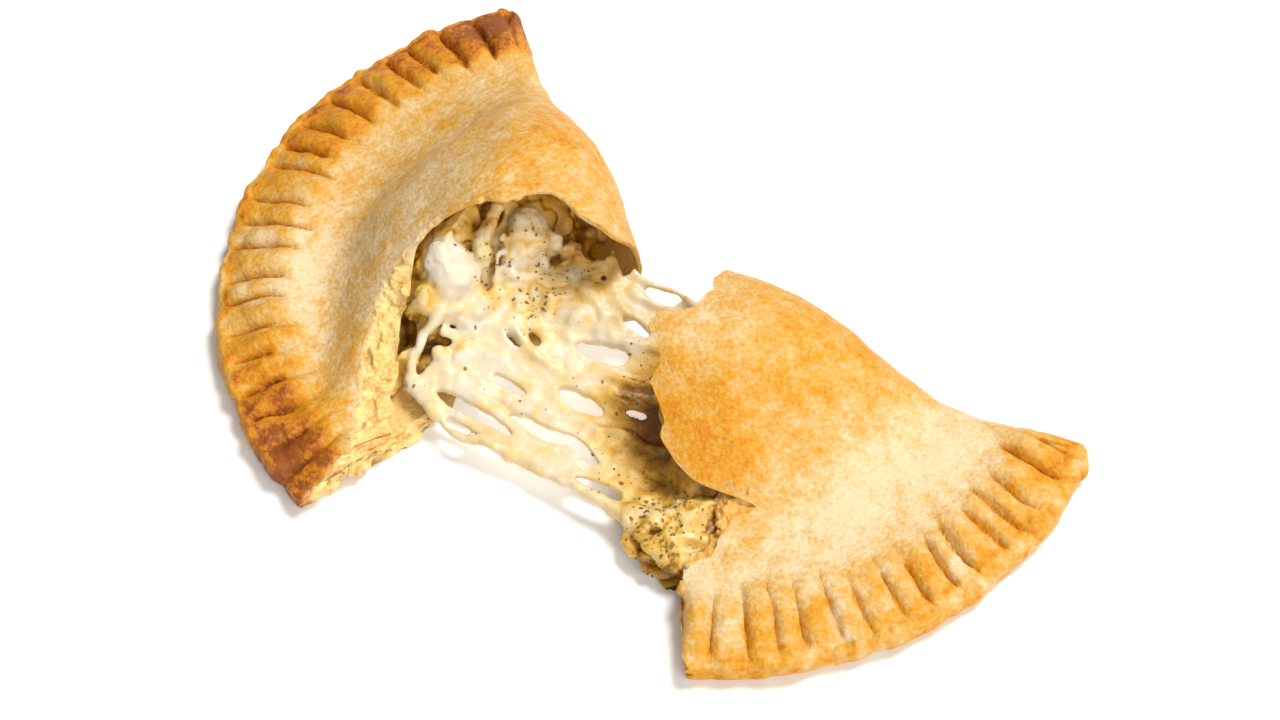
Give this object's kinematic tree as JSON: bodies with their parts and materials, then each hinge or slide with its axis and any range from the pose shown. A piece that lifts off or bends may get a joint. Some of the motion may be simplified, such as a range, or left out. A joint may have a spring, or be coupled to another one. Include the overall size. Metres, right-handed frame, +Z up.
{
  "type": "cheese turnover",
  "caption": "Half-moon fatayer with a fork-crimped golden crust, torn across the middle, its halves still joined by stretched melted cheese with herbs.",
  "frame": {"origin": "on the surface it rests on, under the middle of the whole torn piece", "axes": "+X from the taller half to the flatter one, +Y away from the viewer, +Z up"},
  "size_m": [0.1525, 0.1477, 0.028],
  "materials": {
    "crust": "baked dough, golden with browned ridges, satin",
    "cheese": "melted, moist and slightly glossy, flecked with herbs"
  },
  "bodies": {
    "root": {"crust_left": "crust", "crust_right": "crust", "cheese_filling": "cheese"}
  },
  "joints": []
}
